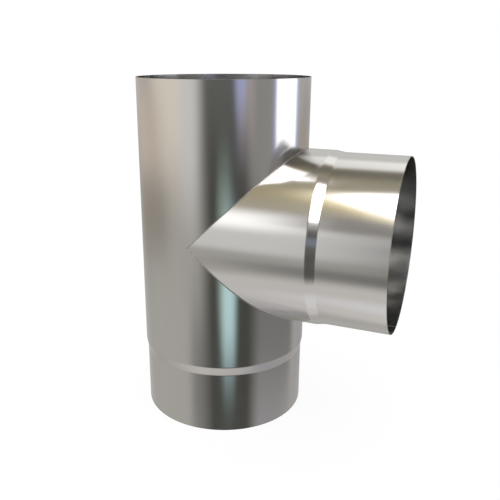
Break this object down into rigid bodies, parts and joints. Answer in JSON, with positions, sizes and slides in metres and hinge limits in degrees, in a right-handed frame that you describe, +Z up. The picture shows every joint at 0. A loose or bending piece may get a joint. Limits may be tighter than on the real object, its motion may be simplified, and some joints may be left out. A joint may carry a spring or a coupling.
{
  "type": "stove pipe tee",
  "caption": "Polished stainless stove pipe tee: a straight round body with a mitred branch of the same diameter, and swaged spigots at its lower and branch ends.",
  "frame": {"origin": "on the body's axis, at the open end of the lower spigot", "axes": "+Z up the body towards the socket, +X along the branch towards its open end"},
  "size_m": [0.236, 0.151, 0.3014],
  "materials": {
    "stainless_sheet": "polished",
    "stainless_weld": "ground and polished"
  },
  "bodies": {
    "root": {"body_pipe": "stainless_sheet", "branch_pipe": "stainless_sheet", "saddle_weld": "stainless_weld"}
  },
  "joints": []
}
